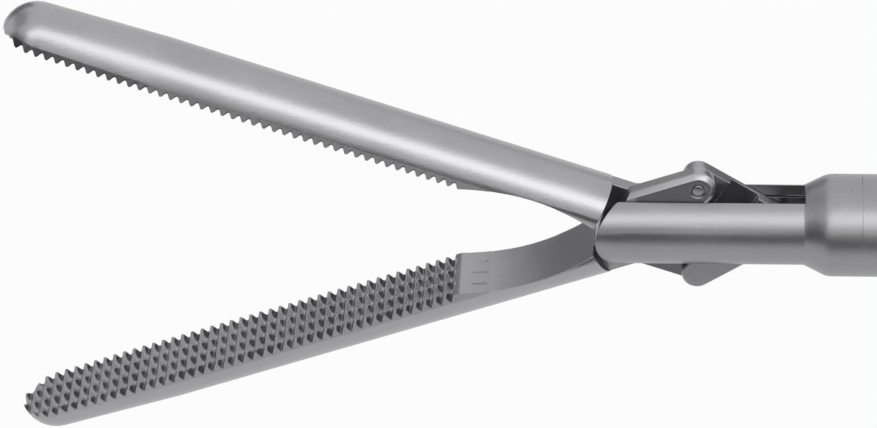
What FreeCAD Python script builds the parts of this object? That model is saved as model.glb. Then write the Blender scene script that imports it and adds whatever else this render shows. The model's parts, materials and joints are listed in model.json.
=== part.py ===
import FreeCAD, Part
import math
import os
import re
import Sketcher
from FreeCAD import Rotation, Vector

# Working end of a 5 mm laparoscopic grasper, in millimetres.
# X runs along the shaft and the jaws point to -X. Z is up. The jaws turn about an axis along Y.
# The origin is the centre of the rear face of the ferrule's flange, where a handle seats.
# The jaws stand open, the drive rod is at the front end of its stroke.

doc = FreeCAD.newDocument("grasper_working_end")
sheet = doc.addObject("Spreadsheet::Sheet", "Sizes")

# Sizes in millimetres and degrees
SIZES = {
    # Jaws
    "jaw_length": 32.1,  # pivot to the tip of a jaw
    "jaw_radius": 1.95,  # radius of the half-round back of a jaw
    "jaw_taper": 0.17,  # how much the radius falls towards the tip
    "jaw_taper_length": 6.0,  # length over which the radius falls
    "jaw_open_angle": 19.4,  # angle of each jaw above or below the shaft axis, open
    "jaw_rear_gap": 0.10,  # rear face of a jaw to the front of the clevis blank
    "jaw_rear_lean": 0.33,  # how far the rear face of a jaw leans back over the ears
    "jaw_flank_trim": 0.05,  # how far the flanks beside the pad are ground flat
    # Toothed pads
    "teeth_start": 8.92,  # pivot to the first cross groove
    "tooth_pitch": 0.52,  # distance between cross grooves
    "tooth_depth": 0.37,  # depth of a cross groove
    "tooth_crest": 0.012,  # how far the crest of a tooth lies inside the pad's plane
    "tooth_tip_margin": 0.45,  # pad left plain at the tip
    "row_spacing": 1.12,  # distance between lengthwise grooves
    "row_groove_width": 0.96,  # width of a lengthwise groove
    "row_groove_depth": 0.38,  # depth of a lengthwise groove
    "row_run_out": 1.0,  # how far the lengthwise grooves run into the throat
    # Throat behind the teeth
    "throat_start": 1.8,  # pivot to the rear end of the throat
    "throat_depth": 0.58,  # deepest point of the throat
    # Tangs
    "tang_pin_reach": 3.76,  # pivot to link pin, along the jaw
    "tang_pin_drop": 1.18,  # pivot to link pin, across the jaw
    "tang_boss_radius": 0.86,  # round end of a tang
    "tang_back_inset": 0.03,  # how far a tang's back lies inside the jaw's back
    "tang_back_end": 0.30,  # where the back of a tang turns down, behind the pivot
    "tang_heel": 0.57,  # where the heel of a tang ends, behind the pivot
    "tang_root": 1.0,  # how far a tang reaches into the jaw's body
    "tang_edge_break": 0.24,  # broken edge of a tang's outer face
    # Clevis
    "neck_radius": 1.95,  # radius of the neck, and of the ears' noses
    "nose_setback": 0.15,  # how far the round of the noses is centred behind the pivot
    "slot_width": 1.75,  # width of the slot between the ears
    "slot_length": 8.35,  # pivot to the end wall of the slot
    "slot_clearance": 0.015,  # gap between an ear and what moves in the slot
    "layer_clearance": 0.04,  # gap between the two layers in the slot
    "cone_start": 8.30,  # pivot to where the neck begins to widen
    "cone_top": 0.47,  # length of the round at the top of the cone
    "cone_fall": 0.10,  # rise of that round
    "cone_end": 9.70,  # pivot to the full shaft diameter
    "collar_end": 11.1,  # pivot to the seam with the shaft tube
    "seam_chamfer": 0.02,  # broken edge at the seam
    "spigot_length": 4.0,  # clevis spigot inside the shaft tube
    "fork_front_gap": 0.29,  # drive fork's arms to the front end of the clevis bore
    "bore_radius": 1.42,  # radius of the clevis bore
    # Shaft tube
    "shaft_radius": 2.5,  # outside radius of the shaft
    "shaft_wall": 0.4,  # wall of the shaft tube
    "tube_length": 18.0,  # length of the shaft tube
    # Pins and fits
    "pivot_pin_radius": 0.55,  # radius of the pivot pin
    "link_pin_radius": 0.28,  # radius of the two link pins
    "fork_pin_radius": 0.35,  # radius of the fork pin
    "cross_pin_radius": 0.30,  # radius of the pin through the rod
    "press_clearance": 0.005,  # radial gap of a pressed fit
    "running_clearance": 0.025,  # radial gap of a running fit
    "link_clearance": 0.11,  # radial gap between a link and its jaw pin
    "pin_ring_width": 0.13,  # countersunk ring round a link pin's end
    "pin_ring_depth": 0.07,  # depth of that ring
    "joint_gap": 0.02,  # gap between pieces that are glued or stacked
    "pin_inset": 0.02,  # how far a cross pin's ends lie under the surface
    # Links
    "link_length": 4.15,  # fork pin to jaw pin
    "link_radius": 0.75,  # round end of a link at the jaw pin
    "link_fork_radius": 0.92,  # round end of a link at the fork pin
    "link_boss": 0.80,  # thickness of a link at its two pins
    "link_thickness": 0.30,  # thickness of the bar between them
    "link_jaw_step": 1.35,  # jaw pin to the step down to the bar
    "link_fork_step": 1.15,  # fork pin to the step down to the bar
    "link_skin": 0.15,  # metal left over the blind hole of a link
    "link_edge_break": 0.08,  # broken edge of a link's outer face
    # Drive rod
    "fork_radius": 1.38,  # radius of the drive fork
    "fork_slot_width": 1.80,  # width of the slot in the fork
    "fork_nose": 0.85,  # fork pin to the front end of the arms
    "fork_slot_depth": 1.90,  # fork pin to the end of the fork's slot
    "fork_shank": 2.5,  # solid shank behind the fork's slot
    "fork_socket": 2.0,  # depth of the socket for the rod
    "rod_radius": 0.90,  # radius of the push rod
    "rod_overhang": 5.0,  # rod behind the ferrule's spigot
    # Guides and seal inside the tube
    "guide_length": 2.2,  # length of the front guide
    "guide_gap": 0.2,  # gap between the clevis spigot and the front guide
    "seal_squeeze": 0.02,  # gap of a seal ring to what it seals
    "seal_length": 1.1,  # length of the rod seal
    "retainer_length": 0.9,  # length of the seal retainer
    # Ferrule
    "ferrule_socket": 5.0,  # depth of the ferrule's socket over the tube
    "ferrule_radius": 3.4,  # radius of the ferrule's hub
    "ferrule_web": 1.0,  # end of the tube to the rear face of the flange
    "flange_radius": 4.5,  # radius of the ferrule's flange
    "flange_thickness": 1.6,  # thickness of the ferrule's flange
    "flange_notch_width": 1.6,  # width of the locating notches in the flange
    "flange_notch_depth": 0.7,  # depth of the locating notches in the flange
    "spigot_radius": 3.0,  # radius of the ferrule's rear spigot
    "seat_length": 2.6,  # plain part of the rear spigot, next to the flange
    "groove_width": 1.3,  # width of the seal groove
    "groove_depth": 0.75,  # depth of the seal groove
    "spigot_lip": 1.1,  # lip of the rear spigot behind the seal groove
    "seal_corner": 0.2,  # outer corners of the two seal rings
    "ferrule_bore": 2.1,  # radius of the bore through the ferrule
    "edge_break": 0.25,  # broken edges of the ferrule and the coupler
    # Rod coupler
    "coupler_radius": 1.7,  # radius of the coupler's sleeve
    "coupler_length": 4.2,  # length of the coupler's sleeve
    "coupler_socket": 3.4,  # how deep the rod sits in the coupler
    "knob_neck_radius": 0.85,  # radius of the neck in front of the drive knob
    "knob_neck_length": 1.8,  # length of that neck
    "knob_radius": 1.6,  # radius of the drive knob
    "knob_land": 1.0,  # length of the knob at its full radius
    "knob_flank": 0.75,  # length of each sloping side of the knob
}

for row, (name, value) in enumerate(SIZES.items(), 1):
    sheet.set("A%d" % row, name.replace("_", " "))
    sheet.set("B%d" % row, str(value))
    sheet.setAlias("B%d" % row, name)
doc.recompute()

WORD = re.compile(r"[a-z_]+")

# Places along X, from the pivot unless it says otherwise
PIVOT = "(-(collar_end + tube_length + ferrule_web))"
ARM = "sqrt(tang_pin_reach^2 + tang_pin_drop^2)"
ARM_ANGLE = "(atan(tang_pin_drop / tang_pin_reach) / 1deg + jaw_open_angle)"
PIN_X = "(%s * cos(%s * 1deg))" % (ARM, ARM_ANGLE)
PIN_Z = "(%s * sin(%s * 1deg))" % (ARM, ARM_ANGLE)
LINK_ANGLE = "(asin(%s / link_length) / 1deg)" % PIN_Z
FORK = "(%s + sqrt(link_length^2 - %s^2))" % (PIN_X, PIN_Z)
LAYER = "(slot_width / 2 - slot_clearance - layer_clearance / 2)"
TUBE_BORE = "(shaft_radius - shaft_wall)"
BORE_START = "(%s - fork_nose - fork_front_gap)" % FORK
SPIGOT_END = "(collar_end + spigot_length)"
GUIDE_END = "(%s + guide_gap + guide_length)" % SPIGOT_END
SPIGOT_REAR = "(seat_length + groove_width + spigot_lip)"


def formula(text):
    return WORD.sub(lambda m: "Sizes." + m[0] if m[0] in SIZES else m[0], text)


def number(text):
    value = sheet.evalExpression(formula(text))
    return float(getattr(value, "Value", value))


def bind(thing, path, text):
    thing.setExpression(path, formula(text))


def place(thing, x="0", y="0", z="0", turn="rotation(vector(0; 1; 0); 0)"):
    text = "placement(vector(%s; %s; %s); %s)" % (x, y, z, turn)
    bind(thing, "Placement", text)


def about_y(angle):
    return "rotation(vector(0; 1; 0); %s)" % angle


def new_body(label):
    body = doc.addObject("PartDesign::Body", label)
    body.Label = label
    return body


def origin_plane(body, role):
    return next(f for f in body.Origin.OriginFeatures if f.Role == role)


def new_sketch(body, name, role, lift="0"):
    sketch = body.newObject("Sketcher::SketchObject", name)
    sketch.AttachmentSupport = [(origin_plane(body, role), "")]
    sketch.MapMode = "FlatFace"
    if lift != "0":
        bind(sketch, "AttachmentOffset.Base.z", lift)
    return sketch


def fix_point(sketch, geo, pos, x, y):
    for kind, text, axis in (("DistanceX", x, -2), ("DistanceY", y, -1)):
        if text == "0":
            sketch.addConstraint(Sketcher.Constraint("PointOnObject", geo, pos, axis))
        else:
            i = sketch.addConstraint(Sketcher.Constraint(kind, -1, 1, geo, pos, number(text)))
            bind(sketch, "Constraints[%d]" % i, text)


def outline(sketch, steps):
    # Each step is (x, y) for a line to that point, or (x, y, radius, side) for an arc to it,
    # with the centre on the left (side 1) or on the right (side -1) of the way there.
    count = len(steps)
    spots = [Vector(number(s[0]), number(s[1]), 0) for s in steps]
    first = sketch.GeometryCount
    ends = []
    for i, step in enumerate(steps):
        a, b = spots[i - 1], spots[i]
        if len(step) == 2:
            sketch.addGeometry(Part.LineSegment(a, b), False)
            ends.append((1, 2))
        else:
            r = number(step[2])
            half = (b - a) * 0.5
            across = Vector(-half.y, half.x, 0).normalize()
            centre = a + half + across * (step[3] * math.sqrt(max(r * r - half.Length ** 2, 0)))
            circle = Part.Circle(centre, Vector(0, 0, 1), r)
            turn_a = math.atan2(a.y - centre.y, a.x - centre.x)
            turn_b = math.atan2(b.y - centre.y, b.x - centre.x)
            if step[3] > 0:
                sketch.addGeometry(Part.ArcOfCircle(circle, turn_a, turn_b), False)
                ends.append((1, 2))
            else:
                sketch.addGeometry(Part.ArcOfCircle(circle, turn_b, turn_a), False)
                ends.append((2, 1))
            i_r = sketch.addConstraint(Sketcher.Constraint("Radius", first + i, r))
            bind(sketch, "Constraints[%d]" % i_r, step[2])
    for i in range(count):
        j = (i + 1) % count
        sketch.addConstraint(
            Sketcher.Constraint("Coincident", first + i, ends[i][1], first + j, ends[j][0]))
    for i, step in enumerate(steps):
        fix_point(sketch, first + i, ends[i][1], step[0], step[1])
    return sketch


def circle(sketch, x, y, radius):
    r = number(radius)
    geo = sketch.addGeometry(
        Part.Circle(Vector(number(x), number(y), 0), Vector(0, 0, 1), r), False)
    i = sketch.addConstraint(Sketcher.Constraint("Radius", geo, r))
    bind(sketch, "Constraints[%d]" % i, radius)
    fix_point(sketch, geo, 3, x, y)
    return sketch


def pad(body, name, sketch, length, reverse=False, both=False):
    feature = body.newObject("PartDesign::Pad", name)
    feature.Profile = sketch
    feature.SideType = "Symmetric" if both else "One side"
    feature.Reversed = reverse
    bind(feature, "Length", length)
    body.Tip = feature
    return feature


def cut(body, name, sketch, length, reverse=False, both=False):
    before = solid_of(body).Volume
    feature = body.newObject("PartDesign::Pocket", name)
    feature.Profile = sketch
    feature.SideType = "Symmetric" if both else "One side"
    feature.Reversed = reverse
    bind(feature, "Length", length)
    body.Tip = feature
    if not solid_of(body).Volume < before:
        raise RuntimeError("%s cuts nothing" % name)
    return feature


def spin(body, name, sketch, angle=360.0):
    feature = body.newObject("PartDesign::Revolution", name)
    feature.Profile = sketch
    feature.ReferenceAxis = (sketch, ["H_Axis"])
    feature.Angle = angle
    feature.Midplane = angle < 360.0
    body.Tip = feature
    return feature


def solid_of(body):
    doc.recompute()
    return body.Shape


def on_face(edge, y, front):
    # An edge in the plane at this Y that lies behind this X.
    box = edge.BoundBox
    return abs(box.YMin - y) < 1e-4 and abs(box.YMax - y) < 1e-4 and box.XMin > front


def break_edges(body, name, size, choose):
    shape = solid_of(body).copy()
    base = body.Tip
    edges = ["Edge%d" % (i + 1) for i, e in enumerate(shape.Edges) if choose(e)]
    feature = body.newObject("PartDesign::Chamfer", name)
    feature.Base = (base, edges)
    bind(feature, "Size", size)
    body.Tip = feature
    if not edges or not solid_of(body).Volume < shape.Volume:
        raise RuntimeError("%s breaks nothing" % name)
    return feature


def pin(label, radius, trim_radius, x, turn="rotation(vector(1; 0; 0); -90)"):
    # A cross pin whose ends follow the round piece that it passes through.
    rod = doc.addObject("Part::Cylinder", label + "_rod")
    bind(rod, "Radius", radius)
    bind(rod, "Height", "4 * shaft_radius")
    place(rod, turn=turn, y="-2 * shaft_radius" if turn.startswith("rotation(vector(1") else "0",
          z="0" if turn.startswith("rotation(vector(1") else "-2 * shaft_radius")
    hull = doc.addObject("Part::Cylinder", label + "_hull")
    bind(hull, "Radius", trim_radius)
    bind(hull, "Height", "8 * shaft_radius")
    place(hull, x="-4 * shaft_radius", turn=about_y("90"))
    common = doc.addObject("Part::Common", label)
    common.Base = rod
    common.Tool = hull
    common.Label = label
    place(common, x=x)
    return common


parts = []

# Clevis: a turned neck, cone, collar and spigot, bored from the rear and slotted from the front.
# The ears' noses are round, and set back a little so that the jaws' rear faces pass them.
clevis = new_body("clevis")
sketch = new_sketch(clevis, "clevis_profile", "XZ_Plane")
outline(sketch, [
    ("-neck_radius", "0"),
    ("-neck_radius", "neck_radius"),
    ("cone_start", "neck_radius"),
    ("cone_end - cone_top", "shaft_radius - cone_fall"),
    ("cone_end", "shaft_radius", "(cone_top^2 + cone_fall^2) / (2 * cone_fall)", -1),
    ("collar_end - seam_chamfer", "shaft_radius"),
    ("collar_end", "shaft_radius - seam_chamfer"),
    ("collar_end", TUBE_BORE + " - joint_gap"),
    (SPIGOT_END, TUBE_BORE + " - joint_gap"),
    (SPIGOT_END, "bore_radius"),
    (BORE_START, "bore_radius"),
    (BORE_START, "0"),
])
spin(clevis, "clevis_turned", sketch)
sketch = new_sketch(clevis, "nose_outline", "XZ_Plane")
outline(sketch, [
    ("nose_setback", "-neck_radius - 1"),
    ("nose_setback", "-neck_radius"),
    ("nose_setback - neck_radius", "0", "neck_radius", -1),
    ("nose_setback", "neck_radius", "neck_radius", -1),
    ("nose_setback", "neck_radius + 1"),
    ("-neck_radius - 1", "neck_radius + 1"),
    ("-neck_radius - 1", "-neck_radius - 1"),
])
cut(clevis, "nose_cut", sketch, "4 * neck_radius", both=True)
sketch = new_sketch(clevis, "slot_outline", "XY_Plane")
outline(sketch, [
    ("-neck_radius - 1", "-slot_width / 2"),
    ("slot_length", "-slot_width / 2"),
    ("slot_length", "slot_width / 2"),
    ("-neck_radius - 1", "slot_width / 2"),
])
cut(clevis, "slot_cut", sketch, "4 * shaft_radius", both=True)
sketch = new_sketch(clevis, "pivot_hole_outline", "XZ_Plane")
circle(sketch, "0", "0", "pivot_pin_radius + press_clearance")
cut(clevis, "pivot_hole", sketch, "4 * neck_radius", both=True)
place(clevis, x=PIVOT)
parts.append(clevis)


def make_jaw(label, first_groove, turn):
    # A jaw lies closed here: its pad is on Z = 0, its back is up, and its tang is in the +Y layer.
    body = new_body(label)
    sketch = new_sketch(body, label + "_tang_outline", "XZ_Plane", "-layer_clearance / 2")
    back = "(sqrt(jaw_radius^2 - (slot_width / 2 - slot_clearance)^2) - tang_back_inset)"
    low = "(-tang_pin_drop - tang_boss_radius)"
    root = "(-neck_radius - jaw_rear_gap - tang_root)"
    # The sloping edge runs from the end of the back, as a tangent, to the boss.
    rise = "(%s + tang_pin_drop)" % back
    run = "(tang_pin_reach - tang_back_end)"
    meet = "(180 - (atan(%s / %s) + acos(tang_boss_radius / sqrt(%s^2 + %s^2))) / 1deg)" % (
        rise, run, rise, run)
    outline(sketch, [
        (root, "throat_depth * 0.8"),
        ("-throat_start - 0.1", "0"),
        ("tang_heel", low),
        ("tang_pin_reach", low),
        ("tang_pin_reach + tang_boss_radius * cos(%s * 1deg)" % meet,
         "-tang_pin_drop + tang_boss_radius * sin(%s * 1deg)" % meet,
         "tang_boss_radius", 1),
        ("tang_back_end", back),
        (root, back),
    ])
    pad(body, label + "_tang", sketch, LAYER, reverse=True)
    face = number("layer_clearance / 2 + " + LAYER)
    break_edges(body, label + "_tang_edge", "tang_edge_break", lambda e: on_face(e, face, 0))

    sketch = new_sketch(body, label + "_profile", "XZ_Plane")
    tip = "(jaw_radius - jaw_taper)"
    outline(sketch, [
        ("-neck_radius - jaw_rear_gap + jaw_rear_lean", "0"),
        ("-neck_radius - jaw_rear_gap + jaw_rear_lean", "jaw_radius"),
        ("-jaw_length + %s + jaw_taper_length" % tip, "jaw_radius"),
        ("-jaw_length + %s" % tip, tip),
        ("-jaw_length", "0", tip, 1),
    ])
    spin(body, label + "_half_round", sketch, 180.0)

    # The rear face leans back from the pad to the top of the back, on both sides of the tang.
    near = "-layer_clearance / 2"
    for end, lift, reverse in (("near", near, True), ("far", near + " - " + LAYER, False)):
        sketch = new_sketch(body, label + "_rear_outline_" + end, "XZ_Plane", lift)
        outline(sketch, [
            ("-neck_radius - jaw_rear_gap - 0.1 * jaw_rear_lean", "-0.1 * jaw_radius"),
            ("-neck_radius - jaw_rear_gap + 1.1 * jaw_rear_lean", "1.1 * jaw_radius"),
            ("0", "1.1 * jaw_radius"),
            ("0", "-0.1 * jaw_radius"),
        ])
        cut(body, label + "_rear_" + end, sketch, "4 * jaw_radius", reverse=reverse)

    sketch = new_sketch(body, label + "_flank_outline", "YZ_Plane")
    for side in ("", "-"):
        outline(sketch, [
            (side + "(jaw_radius - jaw_flank_trim)", "-1"),
            (side + "(jaw_radius + 1)", "-1"),
            (side + "(jaw_radius + 1)", "jaw_radius / 2"),
            (side + "(jaw_radius - jaw_flank_trim)", "jaw_radius / 2"),
        ])
    cut(body, label + "_flanks", sketch, "2 * jaw_length")

    sketch = new_sketch(body, label + "_throat_outline", "XZ_Plane")
    outline(sketch, [
        ("-throat_start", "-1"),
        ("-throat_start", "0"),
        ("-teeth_start", "0",
         "((teeth_start - throat_start)^2 / 4 + throat_depth^2) / (2 * throat_depth)", 1),
        ("-teeth_start", "-1"),
    ])
    cut(body, label + "_throat", sketch, "4 * jaw_radius", both=True)

    # Cross grooves: one V, repeated along the pad.
    sketch = new_sketch(body, label + "_groove_outline", "XZ_Plane")
    start = "(-teeth_start - %s)" % first_groove
    half = "(tooth_pitch / 2 * (tooth_depth + 0.1) / (tooth_depth - tooth_crest))"
    outline(sketch, [
        ("%s + %s" % (start, half), "-0.1"),
        (start, "tooth_depth"),
        ("%s - %s" % (start, half), "-0.1"),
    ])
    groove = cut(body, label + "_groove", sketch, "4 * jaw_radius", both=True)
    grooves = body.newObject("PartDesign::LinearPattern", label + "_grooves")
    grooves.Originals = [groove]
    grooves.Direction = (sketch, ["H_Axis"])
    grooves.Reversed = True
    grooves.Mode = "Spacing"
    bind(grooves, "Offset", "tooth_pitch")
    bind(grooves, "Occurrences",
         "floor((jaw_length - tooth_tip_margin - teeth_start - %s) / tooth_pitch) + 1" % first_groove)
    body.Tip = grooves

    # Lengthwise grooves: three Vs that turn the teeth into four rows of pyramids.
    sketch = new_sketch(body, label + "_row_outline", "YZ_Plane", "-teeth_start + row_run_out")
    half = "(row_groove_width / 2 * (1 + 0.1 / row_groove_depth))"
    for middle in ("-row_spacing", "0", "row_spacing"):
        outline(sketch, [
            ("%s - %s" % (middle, half), "-0.1"),
            ("%s + %s" % (middle, half), "-0.1"),
            (middle, "row_groove_depth"),
        ])
    cut(body, label + "_rows", sketch, "jaw_length")

    sketch = new_sketch(body, label + "_holes_outline", "XZ_Plane")
    circle(sketch, "0", "0", "pivot_pin_radius + running_clearance")
    circle(sketch, "tang_pin_reach", "-tang_pin_drop", "link_pin_radius + press_clearance")
    cut(body, label + "_holes", sketch, "4 * jaw_radius", both=True)
    sketch = new_sketch(body, label + "_ring_outline", "XZ_Plane", "-layer_clearance / 2 - " + LAYER)
    circle(sketch, "tang_pin_reach", "-tang_pin_drop", "link_pin_radius + pin_ring_width")
    cut(body, label + "_ring", sketch, "pin_ring_depth", reverse=True)
    place(body, x=PIVOT, turn=turn)
    parts.append(body)
    return body


upper_jaw = make_jaw("upper_jaw", "tooth_pitch / 2", about_y("jaw_open_angle"))
lower_jaw = make_jaw("lower_jaw", "tooth_pitch", about_y("-jaw_open_angle")
                     + " * rotation(vector(1; 0; 0); 180)")

pivot_pin = pin("pivot_pin", "pivot_pin_radius", "neck_radius", PIVOT)
parts.append(pivot_pin)


def make_link(label, turn):
    # A link lies along -X from the fork pin, in the +Y layer. It is thick at its two pins, with a
    # thin bar between. The hole for the jaw's pin is blind, so the outer face is whole there.
    body = new_body(label)
    inner = "-layer_clearance / 2 - %s + link_boss" % LAYER
    sketch = new_sketch(body, label + "_outline", "XZ_Plane", inner)
    lean = "(asin((link_fork_radius - link_radius) / link_length) / 1deg)"
    ends = ["%s * sin(%s * 1deg)", "%s * cos(%s * 1deg)"]
    wide_x, wide_z = [e % ("link_fork_radius", lean) for e in ends]
    slim_x, slim_z = [e % ("link_radius", lean) for e in ends]
    outline(sketch, [
        ("-" + wide_x, wide_z, "link_fork_radius", 1),
        ("-link_length - " + slim_x, slim_z),
        ("-link_length - link_radius", "0", "link_radius", 1),
        ("-link_length - " + slim_x, "-" + slim_z, "link_radius", 1),
        ("-" + wide_x, "-" + wide_z),
        ("link_fork_radius", "0", "link_fork_radius", 1),
    ])
    pad(body, label + "_plate", sketch, "link_boss", reverse=True)
    face = number("layer_clearance / 2 + " + LAYER)
    break_edges(body, label + "_edge", "link_edge_break", lambda e: on_face(e, face, -1000))
    sketch = new_sketch(body, label + "_bar_outline", "XZ_Plane", inner)
    outline(sketch, [
        ("-link_length + link_jaw_step", "-2 * link_fork_radius"),
        ("-link_fork_step", "-2 * link_fork_radius"),
        ("-link_fork_step", "2 * link_fork_radius"),
        ("-link_length + link_jaw_step", "2 * link_fork_radius"),
    ])
    cut(body, label + "_bar", sketch, "link_boss - link_thickness")
    sketch = new_sketch(body, label + "_blind_outline", "XZ_Plane", inner)
    circle(sketch, "-link_length", "0", "link_pin_radius + link_clearance")
    cut(body, label + "_blind_hole", sketch, "link_boss - link_skin")
    sketch = new_sketch(body, label + "_hole_outline", "XZ_Plane")
    circle(sketch, "0", "0", "fork_pin_radius + running_clearance")
    cut(body, label + "_hole", sketch, "2 * slot_width", both=True)
    place(body, x="%s + %s" % (PIVOT, FORK), turn=turn)
    parts.append(body)
    return body


upper_link = make_link("upper_link", about_y(LINK_ANGLE))
lower_link = make_link("lower_link", about_y("-" + LINK_ANGLE) + " * rotation(vector(1; 0; 0); 180)")

# Link pins: studs pressed through a tang, which end in the blind hole of the link beside it.
for label, side, inset in (("upper_link_pin", "", ""),
                           ("lower_link_pin", "-", " + link_skin + joint_gap")):
    rivet = doc.addObject("Part::Cylinder", label)
    rivet.Label = label
    bind(rivet, "Radius", "link_pin_radius")
    bind(rivet, "Height", "slot_width - 2 * slot_clearance - link_skin - joint_gap")
    place(rivet, x="%s + %s" % (PIVOT, PIN_X), y="-slot_width / 2 + slot_clearance" + inset,
          z=side + PIN_Z, turn="rotation(vector(1; 0; 0); -90)")
    parts.append(rivet)

# Drive fork: a round shank whose arms reach past the links on both sides.
fork = new_body("drive_fork")
sketch = new_sketch(fork, "fork_profile", "XZ_Plane")
fork_rear = "(fork_slot_depth + fork_shank)"
outline(sketch, [
    ("-fork_nose", "0"),
    ("-fork_nose", "fork_radius"),
    (fork_rear, "fork_radius"),
    (fork_rear, "rod_radius + press_clearance"),
    (fork_rear + " - fork_socket", "rod_radius + press_clearance"),
    (fork_rear + " - fork_socket", "0"),
])
spin(fork, "fork_turned", sketch)
sketch = new_sketch(fork, "fork_slot_outline", "XY_Plane")
outline(sketch, [
    ("-fork_nose - 1", "-fork_slot_width / 2"),
    ("fork_slot_depth", "-fork_slot_width / 2"),
    ("fork_slot_depth", "fork_slot_width / 2"),
    ("-fork_nose - 1", "fork_slot_width / 2"),
])
cut(fork, "fork_slot", sketch, "4 * fork_radius", both=True)
sketch = new_sketch(fork, "fork_pin_hole_outline", "XZ_Plane")
circle(sketch, "0", "0", "fork_pin_radius + press_clearance")
cut(fork, "fork_pin_hole", sketch, "4 * fork_radius", both=True)
sketch = new_sketch(fork, "cross_hole_outline", "XY_Plane")
circle(sketch, fork_rear + " - fork_socket / 2", "0", "cross_pin_radius + press_clearance")
cut(fork, "cross_hole", sketch, "4 * fork_radius", both=True)
place(fork, x="%s + %s" % (PIVOT, FORK))
parts.append(fork)

parts.append(pin("fork_pin", "fork_pin_radius", "fork_radius - pin_inset",
                 "%s + %s" % (PIVOT, FORK)))
parts.append(pin("rod_cross_pin", "cross_pin_radius", "fork_radius - pin_inset",
                 "%s + %s + %s - fork_socket / 2" % (PIVOT, FORK, fork_rear),
                 "rotation(vector(0; 0; 1); 0)"))

# Push rod, from the fork's socket to the coupler's, with a hole for the cross pin.
rod = new_body("push_rod")
sketch = new_sketch(rod, "rod_profile", "XZ_Plane")
rod_front = "(%s + %s + %s - fork_socket + joint_gap)" % (PIVOT, FORK, fork_rear)
rod_rear = "(%s + rod_overhang)" % SPIGOT_REAR
outline(sketch, [
    (rod_front, "0"),
    (rod_front, "rod_radius"),
    (rod_rear, "rod_radius"),
    (rod_rear, "0"),
])
spin(rod, "rod_turned", sketch)
sketch = new_sketch(rod, "rod_hole_outline", "XY_Plane")
circle(sketch, "%s + %s + %s - fork_socket / 2" % (PIVOT, FORK, fork_rear), "0",
       "cross_pin_radius + press_clearance")
cut(rod, "rod_hole", sketch, "4 * rod_radius", both=True)
parts.append(rod)

# Front guide, with a shallow relief round its outside, and the seal and its retainer behind it.
guide = new_body("front_guide")
sketch = new_sketch(guide, "front_guide_profile", "XZ_Plane")
outline(sketch, [
    ("0", "rod_radius + running_clearance"),
    ("0", TUBE_BORE + " - joint_gap"),
    ("guide_length", TUBE_BORE + " - joint_gap"),
    ("guide_length", "rod_radius + running_clearance"),
])
spin(guide, "front_guide_turned", sketch)
place(guide, x="%s + %s + guide_gap" % (PIVOT, SPIGOT_END))
parts.append(guide)


def make_ring(label, x, inner, outer, length):
    # A seal ring as it sits in its seat, with its outer corners pressed round.
    body = new_body(label)
    sketch = new_sketch(body, label + "_profile", "XZ_Plane")
    outline(sketch, [
        ("0", inner),
        ("0", outer + " - seal_corner"),
        ("seal_corner", outer),
        (length + " - seal_corner", outer),
        (length, outer + " - seal_corner"),
        (length, inner),
    ])
    spin(body, label + "_turned", sketch)
    place(body, x=x)
    parts.append(body)
    return body


make_ring("rod_seal", "%s + %s + joint_gap" % (PIVOT, GUIDE_END), "rod_radius + seal_squeeze",
          TUBE_BORE + " - seal_squeeze", "seal_length")

retainer = new_body("seal_retainer")
sketch = new_sketch(retainer, "retainer_profile", "XZ_Plane")
outline(sketch, [
    ("0", "rod_radius + 2 * running_clearance"),
    ("0", TUBE_BORE + " - joint_gap"),
    ("retainer_length", TUBE_BORE + " - joint_gap"),
    ("retainer_length", "rod_radius + 2 * running_clearance"),
])
spin(retainer, "retainer_turned", sketch)
place(retainer, x="%s + %s + 2 * joint_gap + seal_length" % (PIVOT, GUIDE_END))
parts.append(retainer)

# Shaft tube
tube = new_body("shaft_tube")
sketch = new_sketch(tube, "tube_profile", "XZ_Plane")
outline(sketch, [
    ("0", TUBE_BORE),
    ("0", "shaft_radius - seam_chamfer"),
    ("seam_chamfer", "shaft_radius"),
    ("tube_length", "shaft_radius"),
    ("tube_length", TUBE_BORE),
])
spin(tube, "tube_turned", sketch)
place(tube, x="%s + collar_end" % PIVOT)
parts.append(tube)

# Rear ferrule: hub over the tube, flange with two locating notches, spigot with a seal groove.
ferrule = new_body("rear_ferrule")
sketch = new_sketch(ferrule, "ferrule_profile", "XZ_Plane")
outline(sketch, [
    ("-ferrule_web - ferrule_socket", "shaft_radius + joint_gap"),
    ("-ferrule_web - ferrule_socket", "ferrule_radius - edge_break"),
    ("-ferrule_web - ferrule_socket + edge_break", "ferrule_radius"),
    ("-flange_thickness", "ferrule_radius"),
    ("-flange_thickness", "flange_radius - edge_break"),
    ("-flange_thickness + edge_break", "flange_radius"),
    ("-edge_break", "flange_radius"),
    ("0", "flange_radius - edge_break"),
    ("0", "spigot_radius"),
    ("seat_length", "spigot_radius"),
    ("seat_length", "spigot_radius - groove_depth"),
    ("seat_length + groove_width", "spigot_radius - groove_depth"),
    ("seat_length + groove_width", "spigot_radius"),
    (SPIGOT_REAR + " - edge_break", "spigot_radius"),
    (SPIGOT_REAR, "spigot_radius - edge_break"),
    (SPIGOT_REAR, "ferrule_bore"),
    ("-ferrule_web + joint_gap", "ferrule_bore"),
    ("-ferrule_web + joint_gap", "shaft_radius + joint_gap"),
])
spin(ferrule, "ferrule_turned", sketch)
sketch = new_sketch(ferrule, "notch_outline", "YZ_Plane", "1")
for side in ("", "-"):
    near = side + "(flange_radius - flange_notch_depth)"
    far = side + "(flange_radius + 1)"
    outline(sketch, [
        ("-flange_notch_width / 2", near),
        ("flange_notch_width / 2", near),
        ("flange_notch_width / 2", far),
        ("-flange_notch_width / 2", far),
    ])
cut(ferrule, "notches", sketch, "flange_thickness + 1")
parts.append(ferrule)

make_ring("ferrule_seal", "seat_length + seal_squeeze",
          "spigot_radius - groove_depth + seal_squeeze", "spigot_radius - seal_squeeze",
          "groove_width - 2 * seal_squeeze")

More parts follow.
